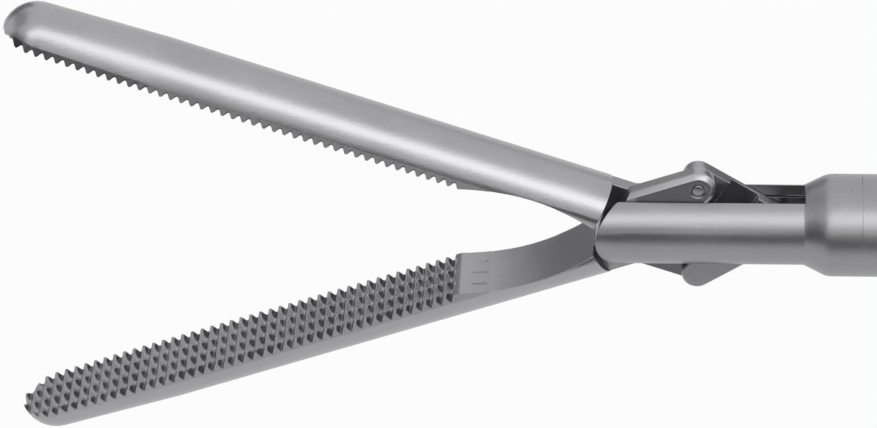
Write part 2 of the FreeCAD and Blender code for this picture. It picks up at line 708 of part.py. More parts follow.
# Rear guide: a bush in the ferrule's bore, level with the end of the spigot.
bush = new_body("rear_guide")
sketch = new_sketch(bush, "bush_profile", "XZ_Plane")
outline(sketch, [
    ("seat_length", "rod_radius + running_clearance"),
    ("seat_length", "ferrule_bore - joint_gap"),
    (SPIGOT_REAR, "ferrule_bore - joint_gap"),
    (SPIGOT_REAR, "rod_radius + running_clearance"),
])
spin(bush, "bush_turned", sketch)
parts.append(bush)

# Rod coupler: a sleeve over the rod's end, then a neck and a turned knob.
coupler = new_body("rod_coupler")
sketch = new_sketch(coupler, "coupler_profile", "XZ_Plane")
front = "(%s - coupler_socket + joint_gap)" % rod_rear
back = "(%s + coupler_length)" % front
neck_end = "(%s + knob_neck_length)" % back
outline(sketch, [
    (front, "rod_radius + press_clearance"),
    (front, "coupler_radius - edge_break"),
    (front + " + edge_break", "coupler_radius"),
    (back, "coupler_radius"),
    (back, "knob_neck_radius"),
    (neck_end, "knob_neck_radius"),
    (neck_end + " + knob_flank", "knob_radius"),
    (neck_end + " + knob_flank + knob_land", "knob_radius"),
    (neck_end + " + 2 * knob_flank + knob_land", "knob_neck_radius"),
    (neck_end + " + 2 * knob_flank + knob_land", "0"),
    (rod_rear + " + joint_gap", "0"),
    (rod_rear + " + joint_gap", "rod_radius + press_clearance"),
])
spin(coupler, "coupler_turned", sketch)
parts.append(coupler)

doc.recompute()
for thing in doc.Objects:
    if "Invalid" in thing.State or "Error" in thing.State:
        raise RuntimeError("%s failed: %s" % (thing.Name, thing.State))
os.makedirs("parts", exist_ok=True)
for thing in parts:
    shape = thing.Shape
    if shape.isNull() or not shape.isValid() or not shape.Solids:
        raise RuntimeError("%s has no valid solid" % thing.Label)
    box = shape.BoundBox
    print("%-16s solids %d volume %9.4f  x %8.3f %8.3f  y %7.3f %7.3f  z %7.3f %7.3f" % (
        thing.Label, len(shape.Solids), shape.Volume,
        box.XMin, box.XMax, box.YMin, box.YMax, box.ZMin, box.ZMax))
    shape.exportStep("parts/%s.step" % thing.Label)
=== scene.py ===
"""Looks of a slender two-jaw grasper's working end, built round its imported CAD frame.

Every sub-assembly is a class that puts finished copies in place of its CAD nodes, every finish
is a frozen dataclass, and the studio class holds floor, lamps, cards and camera.
"""

from __future__ import annotations

import json
import logging
import math
from collections.abc import Callable
from dataclasses import dataclass, field
from enum import Enum

import bmesh
import bpy
from mathutils import Matrix, Vector


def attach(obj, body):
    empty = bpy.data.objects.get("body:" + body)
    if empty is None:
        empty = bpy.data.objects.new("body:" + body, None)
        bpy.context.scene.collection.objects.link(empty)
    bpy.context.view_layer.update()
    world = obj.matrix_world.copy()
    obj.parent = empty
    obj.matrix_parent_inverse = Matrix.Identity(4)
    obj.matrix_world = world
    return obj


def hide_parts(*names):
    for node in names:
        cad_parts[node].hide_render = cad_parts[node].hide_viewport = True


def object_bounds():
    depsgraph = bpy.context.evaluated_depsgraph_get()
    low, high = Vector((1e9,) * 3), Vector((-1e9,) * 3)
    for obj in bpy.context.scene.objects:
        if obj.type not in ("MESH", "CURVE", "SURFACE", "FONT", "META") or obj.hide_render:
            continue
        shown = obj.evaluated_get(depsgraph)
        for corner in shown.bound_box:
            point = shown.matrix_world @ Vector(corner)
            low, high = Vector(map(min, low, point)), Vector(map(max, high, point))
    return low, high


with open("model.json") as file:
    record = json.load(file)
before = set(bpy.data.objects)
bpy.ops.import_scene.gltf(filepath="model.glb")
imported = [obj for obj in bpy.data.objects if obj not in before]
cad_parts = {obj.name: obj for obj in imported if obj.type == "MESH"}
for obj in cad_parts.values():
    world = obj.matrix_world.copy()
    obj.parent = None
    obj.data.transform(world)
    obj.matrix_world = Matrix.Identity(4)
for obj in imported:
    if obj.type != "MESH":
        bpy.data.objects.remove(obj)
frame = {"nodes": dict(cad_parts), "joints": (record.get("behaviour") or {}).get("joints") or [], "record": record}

LOG = logging.getLogger("grasper")
CAD_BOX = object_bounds()
MM = 0.001
Colour = tuple[float, float, float]
BODY_OF = {n: b for b, nodes in frame["record"]["behaviour"]["bodies"].items() for n in nodes}
# Name of the stored mask that places the painted shade in the grooves between teeth.
GROOVE_SHADE_MASK = "groove"
HINGE = Vector(next(j["pos_m"] for j in frame["joints"] if j["child"] == "upper_jaw"))


class Feed(Enum):
    """Which coordinates of a piece a finish reads."""

    OBJECT = "Object"
    NORMAL = "Normal"


class Wire:
    """A node's socket that adds its own Math nodes when it is used in an expression."""

    def __init__(self, bench: "Bench", socket: bpy.types.NodeSocket) -> None:
        """Keep the socket and the bench that it belongs to.

        Args:
            bench: The node tree that new Math nodes go into.
            socket: The output socket that this wire stands for.
        """
        self.bench = bench
        self.socket = socket

    def _math(self, operation: str, *values: object) -> "Wire":
        """Add one Math node.

        Args:
            operation: Blender's name for the sum.
            values: One, two or three wires or numbers.

        Returns:
            The wire of the result.
        """
        made = self.bench.node("ShaderNodeMath", {"operation": operation}, dict(enumerate(values)))
        return Wire(self.bench, made.outputs[0])

    def __add__(self, other: object) -> "Wire":
        """Return self plus other."""
        return self._math("ADD", self, other)

    def __sub__(self, other: object) -> "Wire":
        """Return self minus other."""
        return self._math("SUBTRACT", self, other)

    def __rsub__(self, other: object) -> "Wire":
        """Return other minus self."""
        return self._math("SUBTRACT", other, self)

    def __mul__(self, other: object) -> "Wire":
        """Return self times other."""
        return self._math("MULTIPLY", self, other)

    def __rmul__(self, other: object) -> "Wire":
        """Return other times self."""
        return self._math("MULTIPLY", other, self)

    def __truediv__(self, other: object) -> "Wire":
        """Return self divided by other."""
        return self._math("DIVIDE", self, other)

    def __abs__(self) -> "Wire":
        """Return the size of self without its sign."""
        return self._math("ABSOLUTE", self)

    def root(self) -> "Wire":
        """Return the square root."""
        return self._math("SQRT", self)

    def cycle(self) -> "Wire":
        """Return what is left after the whole number below, from 0 to 1."""
        return self._math("FRACT", self)

    def over(self, edge: object) -> "Wire":
        """Return 1 where self is more than an edge, and 0 elsewhere."""
        return self._math("GREATER_THAN", self, edge)

    def most(self, other: object, blend: float = 0.0) -> "Wire":
        """Return the larger of two, rounded over a distance where they meet."""
        if blend:
            return self._math("SMOOTH_MAX", self, other, blend)
        return self._math("MAXIMUM", self, other)

    def least(self, other: object, blend: float = 0.0) -> "Wire":
        """Return the smaller of two, rounded over a distance where they meet."""
        if blend:
            return self._math("SMOOTH_MIN", self, other, blend)
        return self._math("MINIMUM", self, other)

    def above(self, edge: float, width: float) -> "Wire":
        """Return a soft step that rises from 0 to 1 over a width.

        Args:
            edge: Where the step starts.
            width: How wide the rise is.

        Returns:
            The wire of the step, held from 0 to 1.
        """
        made = self.bench.node(
            "ShaderNodeMapRange",
            {"interpolation_type": "SMOOTHSTEP"},
            {"Value": self, "From Min": edge, "From Max": edge + width},
        )
        return Wire(self.bench, made.outputs[0])


class Bench:
    """A node tree with one method that adds a node and wires it up."""

    def __init__(self, tree: bpy.types.NodeTree) -> None:
        """Start on an empty node tree.

        Args:
            tree: The node tree to fill.
        """
        self.tree = tree
        tree.nodes.clear()

    def node(self, kind: str, settings: dict[str, object], inputs: dict) -> bpy.types.Node:
        """Add one node.

        Args:
            kind: Blender's name for the node type.
            settings: Properties of the node, set before its sockets.
            inputs: Values or wires by socket name or number.

        Returns:
            The node.
        """
        made = self.tree.nodes.new(kind)
        for name, value in settings.items():
            setattr(made, name, value)
        for key, value in inputs.items():
            if isinstance(value, Wire):
                self.tree.links.new(value.socket, made.inputs[key])
            elif isinstance(value, bpy.types.NodeSocket):
                self.tree.links.new(value, made.inputs[key])
            else:
                made.inputs[key].default_value = value
        return made

    def feed(self, kind: Feed) -> Wire:
        """Return the coordinates of a kind.

        Args:
            kind: Which coordinates are read.

        Returns:
            The wire of the coordinates.
        """
        source = self.node("ShaderNodeTexCoord", {}, {})
        return Wire(self, source.outputs[kind.value])

    def place(self, stretch: Colour = (1.0, 1.0, 1.0)) -> Wire:
        """Return pattern coordinates, stretched along each axis.

        Args:
            stretch: How much finer the pattern is along each axis.

        Returns:
            The wire of the coordinates.
        """
        mapped = self.node("ShaderNodeMapping", {}, {"Vector": self.feed(Feed.OBJECT), "Scale": stretch})
        return Wire(self, mapped.outputs[0])

    def noise(self, where: Wire, scale: float, detail: float, roughness: float = 0.55) -> Wire:
        """Return a noise pattern with a mean of about one half.

        Args:
            where: The coordinates.
            scale: How many features there are in a metre.
            detail: How many octaves are added.
            roughness: How strong the finer octaves are.

        Returns:
            The wire of the pattern.
        """
        made = self.node(
            "ShaderNodeTexNoise",
            {},
            {"Vector": where, "Scale": scale, "Detail": detail, "Roughness": roughness},
        )
        return Wire(self, made.outputs[0])

    def blend(self, factor: Wire, low: Colour | Wire, high: Colour | Wire) -> Wire:
        """Return a colour between two, by a factor.

        Args:
            factor: 0 for the first colour and 1 for the second.
            low: The first colour.
            high: The second colour.

        Returns:
            The wire of the colour.
        """
        low, high = (end if isinstance(end, Wire) else (*end, 1.0) for end in (low, high))
        made = self.node("ShaderNodeMix", {"data_type": "RGBA"}, {0: factor, 6: low, 7: high})
        return Wire(self, made.outputs[2])

    def seen(self) -> Wire:
        """Return 1 for what the camera, gloss and glass see of a surface, and 0 for its light."""
        path = self.node("ShaderNodeLightPath", {}, {})
        camera, gloss, glass = (
            Wire(self, path.outputs[name])
            for name in ("Is Camera Ray", "Is Glossy Ray", "Is Transmission Ray")
        )
        return (camera + gloss + glass).above(0.0, 1.0)

    def axes(self, vector: Wire) -> tuple[Wire, Wire, Wire]:
        """Return the three parts of a vector.

        Args:
            vector: The wire of the vector.

        Returns:
            The wires of X, Y and Z.
        """
        made = self.node("ShaderNodeSeparateXYZ", {}, {0: vector})
        x, y, z = (Wire(self, out) for out in made.outputs)
        return x, y, z

    def facing(self, axis: int) -> Wire:
        """Return how squarely a surface of the resting tool faces along an axis, from 0 to 1."""
        return abs(self.axes(self.feed(Feed.NORMAL))[axis])

    def bump(self, height: Wire, distance: float, strength: float) -> Wire:
        """Return a bumped normal.

        Args:
            height: The height pattern.
            distance: The height of one unit, in metres.
            strength: How much of it counts.

        Returns:
            The wire of the normal.
        """
        made = self.node(
            "ShaderNodeBump", {}, {"Height": height, "Distance": distance, "Strength": strength}
        )
        return Wire(self, made.outputs[0])


@dataclass(frozen=True)
class SteelFinish:
    """Satin stainless steel, as bead blasting and polishing leave it.

    The grain is the blasted skin, the drag is the faint lengthwise brushing, and the mottle is
    the cloudy change of tone over a few millimetres. Steps are given as where they start and
    how wide they are.
    """

    name: str
    dark: Colour
    light: Colour
    roughness: float
    roughness_spread: float = 0.08
    grain: float = 7000.0
    grain_depth: float = 0.010 * MM
    drag: float = 5200.0
    drag_depth: float = 0.004 * MM
    drag_stretch: float = 0.06
    bump_strength: float = 0.6
    mottle: float = 260.0
    mottle_share: float = 0.7
    tone_step: tuple[float, float] = (0.32, 0.36)
    # Painted shade: the flat sides behind a place are darkened where the fork's ears shade them.
    painted_shade_from: float | None = None
    painted_shade_share: float = 0.46
    painted_shade_fade: float = 0.3 * MM
    flat_step: tuple[float, float] = (0.90, 0.08)
    # Painted shade in the grooves between teeth.
    painted_groove_shade: float | None = None
    painted_groove_step: tuple[float, float] = (0.30, 0.45)

    def build(self) -> bpy.types.Material:
        """Return the material."""
        made = bpy.data.materials.new(self.name)
        made.use_nodes = True
        bench = Bench(made.node_tree)
        where = bench.place()
        along = bench.place(stretch=(self.drag_stretch, 1.0, 1.0))
        cloud = bench.noise(where, self.mottle, 4.0, 0.6)
        grain = bench.noise(where, self.grain, 3.0, 0.6)
        drag = bench.noise(along, self.drag, 2.0)
        tone = (cloud * self.mottle_share + grain * (1.0 - self.mottle_share)).above(*self.tone_step)
        height = grain + drag * (self.drag_depth / self.grain_depth)
        colour = bench.blend(tone, self.dark, self.light)
        # Painted shade on the tang flats behind the hinge.
        if self.painted_shade_from is not None:
            colour = self.shade_tang_flats(bench, where, colour)
        # Painted shade in the grooves between teeth.
        if self.painted_groove_shade is not None:
            colour = self.with_painted_groove_shade(bench, colour)
        shade = bench.node(
            "ShaderNodeBsdfPrincipled",
            {},
            {
                "Base Color": colour,
                "Metallic": 1.0,
                "Roughness": (cloud - 0.5) * (2 * self.roughness_spread) + self.roughness,
                "Normal": bench.bump(height, self.grain_depth, self.bump_strength),
            },
        )
        bench.node("ShaderNodeOutputMaterial", {}, {"Surface": shade.outputs[0]})
        return made

    def shade_tang_flats(self, bench: Bench, where: Wire, colour: Wire) -> Wire:
        """Return the colour with painted shade on the flat sides behind a place, the tang faces that the fork's
        ears shade.

        Args:
            bench: The material.
            where: The coordinates.
            colour: The colour of the rest.

        Returns:
            The wire of the colour.
        """
        flat = bench.facing(1).above(*self.flat_step)
        behind = bench.axes(where)[0].above(self.painted_shade_from, self.painted_shade_fade)
        return bench.blend(flat * behind, colour, self.shaded(self.painted_shade_share))


    def with_painted_groove_shade(self, bench: Bench, colour: Wire) -> Wire:
        """Return the colour darkened in the grooves between teeth, a painted shade of the pits.

        Args:
            bench: The material.
            colour: The colour of the crests.

        Returns:
            The wire of the colour.
        """
        mark = bench.node("ShaderNodeAttribute", {"attribute_name": GROOVE_SHADE_MASK}, {})
        depth = Wire(bench, mark.outputs["Fac"]).above(*self.painted_groove_step)
        return bench.blend(depth, colour, self.shaded(self.painted_groove_shade))

    def shaded(self, share: float) -> Colour:
        """Return a share of the middle colour."""
        return tuple(share * (a + b) / 2 for a, b in zip(self.dark, self.light))


@dataclass(frozen=True)
class MouldedFinish:
    """A plain moulded plastic or rubber with a fine skin."""

    name: str
    dark: Colour
    light: Colour
    roughness: float
    roughness_spread: float = 0.06
    cloud: float = 420.0
    tone_step: tuple[float, float] = (0.35, 0.3)
    skin: float = 4200.0
    skin_depth: float = 0.012 * MM
    bump_strength: float = 0.5

    def build(self) -> bpy.types.Material:
        """Return the material."""
        made = bpy.data.materials.new(self.name)
        made.use_nodes = True
        bench = Bench(made.node_tree)
        where = bench.place()
        cloud = bench.noise(where, self.cloud, 3.0)
        skin = bench.noise(where, self.skin, 3.0, 0.65)
        shade = bench.node(
            "ShaderNodeBsdfPrincipled",
            {},
            {
                "Base Color": bench.blend(cloud.above(*self.tone_step), self.dark, self.light),
                "Roughness": (skin - 0.5) * (2 * self.roughness_spread) + self.roughness,
                "Normal": bench.bump(skin, self.skin_depth, self.bump_strength),
            },
        )
        bench.node("ShaderNodeOutputMaterial", {}, {"Surface": shade.outputs[0]})
        return made


@dataclass(frozen=True)
class Finishes:
    """Every finish of the tool, made once and shared by the sub-assemblies."""

    jaw: bpy.types.Material
    teeth: bpy.types.Material
    shaft: bpy.types.Material
    tube: bpy.types.Material
    link: bpy.types.Material
    pin: bpy.types.Material
    rod: bpy.types.Material
    ferrule: bpy.types.Material
    guide: bpy.types.Material
    seal: bpy.types.Material

    @classmethod
    def make(cls) -> "Finishes":
        """Return the whole set."""
        return cls(
            # The jaw's tang flats behind the hinge carry painted shade.
            jaw=SteelFinish(
                "jaw_steel", (0.345, 0.344, 0.362), (0.390, 0.389, 0.410), 0.33, painted_shade_from=HINGE.x
            ).build(),
            # The teeth carry painted shade in their grooves.
            teeth=SteelFinish(
                "teeth_steel", (0.325, 0.324, 0.342), (0.370, 0.369, 0.389), 0.33, painted_groove_shade=0.35
            ).build(),
            shaft=SteelFinish("shaft_steel", (0.302, 0.301, 0.317), (0.342, 0.341, 0.359), 0.39).build(),
            tube=SteelFinish("tube_steel", (0.302, 0.301, 0.317), (0.342, 0.341, 0.359), 0.39).build(),
            link=SteelFinish(
                "link_steel", (0.300, 0.300, 0.315), (0.400, 0.399, 0.420), 0.40, grain_depth=0.016 * MM
            ).build(),
            pin=SteelFinish("pin_steel", (0.290, 0.290, 0.305), (0.340, 0.339, 0.357), 0.32).build(),
            rod=SteelFinish("rod_steel", (0.310, 0.309, 0.325), (0.355, 0.354, 0.373), 0.26).build(),
            ferrule=SteelFinish("ferrule_steel", (0.310, 0.309, 0.325), (0.350, 0.349, 0.367), 0.34).build(),
            guide=MouldedFinish("guide_plastic", (0.62, 0.60, 0.55), (0.70, 0.68, 0.63), 0.45).build(),
            seal=MouldedFinish("seal_rubber", (0.018, 0.018, 0.020), (0.03, 0.03, 0.033), 0.6).build(),
        )


def add_piece(name: str, mesh: bpy.types.Mesh, node: str) -> bpy.types.Object:
    """Add a finished piece that rides where a CAD node does.

    Args:
        name: The name of the piece.
        mesh: Its finished mesh.
        node: The CAD node whose body and slot it takes.

    Returns:
        The piece.
    """
    piece = bpy.data.objects.new(name, mesh)
    bpy.context.scene.collection.objects.link(piece)
    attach(piece, BODY_OF[node])
    LOG.info("made %s with %d faces on %s", name, len(mesh.polygons), BODY_OF[node])
    return piece


def evaluated(piece: bpy.types.Object) -> bpy.types.Mesh:
    """Return a plain mesh of a piece with its modifiers applied, and delete the piece.

    Args:
        piece: An object with live modifiers.

    Returns:
        The finished mesh.
    """
    graph = bpy.context.evaluated_depsgraph_get()
    mesh = bpy.data.meshes.new_from_object(piece.evaluated_get(graph), depsgraph=graph)
    piece.modifiers.clear()
    bpy.data.objects.remove(piece)
    return mesh


@dataclass(frozen=True)
class EdgeWork:
    """How a piece's edges are broken and its curves smoothed, in millimetres and degrees.

    Width and steps are the bevel's, and edges sharper than the sharp angle get it. Corners
    nearer than the weld are joined, and faces flatter than the flat angle become one.
    """

    width: float
    steps: int = 2
    sharp: float = 24.0
    weld: float = 0.0005
    flat: float = 0.4

    def merged(self, node: str) -> bmesh.types.BMesh:
        """Return a merged copy of a CAD node's mesh with its flat faces joined.

        Args:
            node: The name of the CAD node.

        Returns:
            The copy.
        """
        work = bmesh.new()
        work.from_mesh(frame["nodes"][node].data)
        bmesh.ops.remove_doubles(work, verts=work.verts, dist=self.weld * MM)
        self.join_flats(work)
        return work

    def join_flats(self, work: bmesh.types.BMesh) -> None:
        """Join the faces that lie flat to each other."""
        bmesh.ops.dissolve_limit(
            work, angle_limit=math.radians(self.flat), verts=work.verts, edges=work.edges
        )

    def finish(self, name: str, work: bmesh.types.BMesh, material: bpy.types.Material) -> bpy.types.Mesh:
        """Break the sharp edges and smooth the rest.

        Args:
            name: The name of the mesh.
            work: The merged mesh, which this frees. Its tagged edges stay sharp.
            material: The finish.

        Returns:
            The finished mesh.
        """
        weight = work.edges.layers.float.new("bevel_weight_edge")
        limit = math.radians(self.sharp)
        for face in work.faces:
            face.smooth = True
        for edge in work.edges:
            if len(edge.link_faces) == 2 and edge.calc_face_angle() > limit:
                edge[weight] = 0.0 if edge.tag else 1.0
                edge.smooth = not edge.tag
        mesh = bpy.data.meshes.new(name)
        work.to_mesh(mesh)
        work.free()
        mesh.materials.clear()
        mesh.materials.append(material)
        draft = bpy.data.objects.new(name + "_draft", mesh)
        bpy.context.scene.collection.objects.link(draft)
        bevel = draft.modifiers.new("edges", "BEVEL")
        bevel.width = self.width * MM
        bevel.segments = self.steps
        bevel.limit_method = "WEIGHT"
        bevel.use_clamp_overlap = False
        even = draft.modifiers.new("even", "WEIGHTED_NORMAL")
        even.keep_sharp = True
        made = evaluated(draft)
        made.name = name
        return made


def finish_node(
    node: str,
    material: bpy.types.Material,
    edges: EdgeWork,
    crisp: Callable[[Vector], bool] = lambda place: False,
    mend: Callable[[Vector], Vector] | None = None,
) -> bpy.types.Object:
    """Replace a CAD node by a copy with broken edges and a finish.

    Args:
        node: The name of the CAD node.
        material: The finish.
        edges: How its edges are broken.
        crisp: Tells whether an edge is left crisp, from the places of its ends.
        mend: Returns where a corner at a place is moved to.

    Returns:
        The piece that stands for the node.
    """
    work = edges.merged(node)
    for edge in work.edges:
        edge.tag = all(crisp(v.co) for v in edge.verts)
    if mend:
        for vert in work.verts:
            vert.co = mend(vert.co)
    mesh = edges.finish(node + "_finished", work, material)
    piece = add_piece(node + "_finished", mesh, node)
    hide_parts(node)
    return piece


@dataclass(frozen=True)
class ToothedPad:
    """A pad of rounded teeth, as crossing grooves leave them. Sizes are in millimetres.

    Places along the jaw are from the pivot, and depths are into the jaw from its pad. Near and
    far are the pad's ends, floor is how deep its block goes, and the traces are the faint marks
    on the flat before the teeth. The gullet's reach and the two rounds shape one groove, as
    shares of its depth.
    """

    first_groove: float
    tooth_pitch: float = 0.52
    tooth_depth: float = 0.33
    row_spacing: float = 1.06
    row_width: float = 0.98
    row_depth: float = 0.33
    rounding: float = 0.15
    gullet_reach: float = 1.2
    gullet_round: float = 0.5
    crest_round: float = 0.8
    # Painted shade leans away from the tip and is lessened in the rows' lengthwise grooves.
    shade_lean: float = 0.06
    row_shade_relief: float = 0.75
    teeth_start: float = 8.92
    throat_start: float = 1.8
    throat_depth: float = 0.58
    trace_depth: float = 0.05
    trace_edge: tuple[float, float] = (0.80, 0.15)
    trace_start: tuple[float, float] = (7.6, 0.25)
    trace_end: tuple[float, float] = (8.32, 0.2)
    jaw_length: float = 32.1
    jaw_radius: float = 1.95
    flank: float = 1.90
    tip_radius: float = 1.78
    taper_length: float = 6.0
    near: float = 7.5
    far: float = 32.04
    floor: float = 0.45
    steps_along: int = 480
    steps_across: int = 64
    crease_angle: float = 50.0

    def named_inputs(self) -> dict[str, float]:
        """Return the sizes that the node tree takes as inputs."""
        return {
            "First groove": self.first_groove,
            "Tooth pitch": self.tooth_pitch,
            "Tooth depth": self.tooth_depth,
            "Row spacing": self.row_spacing,
            "Row width": self.row_width,
            "Row depth": self.row_depth,
        }

    def tree(self, material: bpy.types.Material) -> bpy.types.NodeTree:
        """Return the Geometry Nodes tree that shapes the pad out of a block.

        Args:
            material: The finish.

        Returns:
            The tree.
        """
        made = bpy.data.node_groups.new("toothed_pad", "GeometryNodeTree")
        bench = Bench(made)
        made.interface.new_socket("Geometry", in_out="OUTPUT", socket_type="NodeSocketGeometry")
        for label in self.named_inputs():
            made.interface.new_socket(label, in_out="INPUT", socket_type="NodeSocketFloat")
        entry = bench.node("NodeGroupInput", {}, {})
        size = {label: Wire(bench, entry.outputs[label]) for label in self.named_inputs()}
        block = bench.node(
            "GeometryNodeMeshCube",
            {},
            {
                "Size": (1.0, 1.0, 1.0),
                "Vertices X": self.steps_along,
                "Vertices Y": self.steps_across,
                "Vertices Z": 2,
            },
        )
        spot = bench.node("GeometryNodeInputPosition", {}, {})
        run, across, up = bench.axes(Wire(bench, spot.outputs[0]))
        along = self.far - (run + 0.5) * (self.far - self.near)
        radius = self.radius(along)
        sideways = across * 2.0 * radius.least(self.flank)
        depth = self.depth(size, along, sideways)
        painted_shade = self.groove_shade_mask(size, along, sideways)
        top = 1.0 - up.over(0.0)
        drop = depth * top + self.floor * (1.0 - top)
        wall = (radius * radius - drop * drop).root().least(self.flank)
        shaped = bench.node(
            "ShaderNodeCombineXYZ",
            {},
            {0: along * -MM, 1: across * 2.0 * wall * MM, 2: drop * MM},
        )
        # The stored mask carries the painted shade of the grooves between teeth.
        marked = bench.node(
            "GeometryNodeStoreNamedAttribute",
            {"data_type": "FLOAT", "domain": "POINT"},
            {"Geometry": block.outputs["Mesh"], "Name": GROOVE_SHADE_MASK, "Value": painted_shade * top},
        )
        moved = bench.node(
            "GeometryNodeSetPosition",
            {},
            {"Geometry": marked.outputs[0], "Position": shaped.outputs[0]},
        )
        plain = bench.node("GeometryNodeRealizeInstances", {}, {"Geometry": moved.outputs[0]})
        dressed = bench.node(
            "GeometryNodeSetMaterial", {}, {"Geometry": plain.outputs[0], "Material": material}
        )
        bench.node("NodeGroupOutput", {}, {"Geometry": dressed.outputs[0]})
        return made

    def radius(self, along: Wire) -> Wire:
        """Return the jaw's radius at a place along it, with its taper and its round tip."""
        tip_centre = self.jaw_length - self.tip_radius
        over = (along - tip_centre).most(0.0)
        share = ((along - (tip_centre - self.taper_length)) / self.taper_length).most(0.0).least(1.0)
        back = self.jaw_radius - share * (self.jaw_radius - self.tip_radius)
        return (back * back - over * over).root()

    def first_crest(self, size: dict[str, Wire]) -> Wire:
        """Return where the first crest stands, half a pitch before the first groove."""
        return size["First groove"] - size["Tooth pitch"] * 0.5

    def groove(self, size: dict[str, Wire], along: Wire) -> Wire:
        """Return how deep the grooves between teeth are, from 0 on a crest to 1 at the bottom."""
        wave = abs(((along - size["First groove"]) / size["Tooth pitch"]).cycle() * 2.0 - 1.0)
        rounded = (wave * self.gullet_reach).least(1.0, self.gullet_round).most(0.0, self.crest_round)
        lift = self.crest_round / 4
        return (rounded - lift) * (1.0 / (1.0 - lift))

    def row_gap(self, size: dict[str, Wire], across: Wire) -> Wire:
        """Return how deep the lengthwise grooves between rows are, from 0 to 1."""
        spacing = size["Row spacing"]
        away = (1.0 - abs((across / spacing).cycle() * 2.0 - 1.0)) * spacing * 0.5
        inner = 1.0 - abs(across).over(spacing * 1.5)
        return (1.0 - away / (size["Row width"] * 0.5)).most(0.0) * inner

    def groove_shade_mask(self, size: dict[str, Wire], along: Wire, across: Wire) -> Wire:
        """Return where painted shade goes: the grooves, more on the side away from the tip."""
        shade_in_grooves = self.groove(size, along - self.shade_lean)
        toothed = along.over(self.first_crest(size))
        return shade_in_grooves * (1.0 - self.row_gap(size, across) * self.row_shade_relief) * toothed

    def depth(self, size: dict[str, Wire], along: Wire, across: Wire) -> Wire:
        """Return how deep the surface lies under the pad's plane.

        Args:
            size: The named inputs.
            along: The place along the jaw.
            across: The place across it.

        Returns:
            The wire of the depth.
        """
        toothed = along.over(self.first_crest(size))
        gullet = self.groove(size, along) * size["Tooth depth"]
        valley = self.row_gap(size, across)
        cut = (gullet.most(valley * size["Row depth"], self.rounding) - self.rounding / 4).most(0.0)
        half_chord = (self.teeth_start - self.throat_start) / 2
        arc = (half_chord**2 + self.throat_depth**2) / (2 * self.throat_depth)
        off = along - (self.teeth_start - half_chord)
        throat = ((arc**2 - off * off).root() - (arc - self.throat_depth)).most(0.0)
        window = along.above(*self.trace_start) * (1.0 - along.above(*self.trace_end))
        trace = valley.above(*self.trace_edge) * window * self.trace_depth
        return cut * toothed + (throat + trace) * (1.0 - toothed)

    def build(self, name: str, material: bpy.types.Material, turn: Matrix) -> bpy.types.Mesh:
        """Return the pad's finished mesh.

        Args:
            name: The name of the mesh.
            material: The finish.
            turn: Where the closed jaw's frame lies at rest.

        Returns:
            The mesh.
        """
        draft = bpy.data.objects.new(name + "_draft", bpy.data.meshes.new(name + "_draft"))
        bpy.context.scene.collection.objects.link(draft)
        shaper = draft.modifiers.new("pad", "NODES")
        shaper.node_group = self.tree(material)
        values = self.named_inputs()
        for item in shaper.node_group.interface.items_tree:
            if item.in_out == "INPUT":
                shaper[item.identifier] = values[item.name]
        mesh = evaluated(draft)
        mesh.name = name
        mesh.transform(turn)
        for face in mesh.polygons:
            face.use_smooth = True
        mesh.set_sharp_from_angle(angle=math.radians(self.crease_angle))
        return mesh


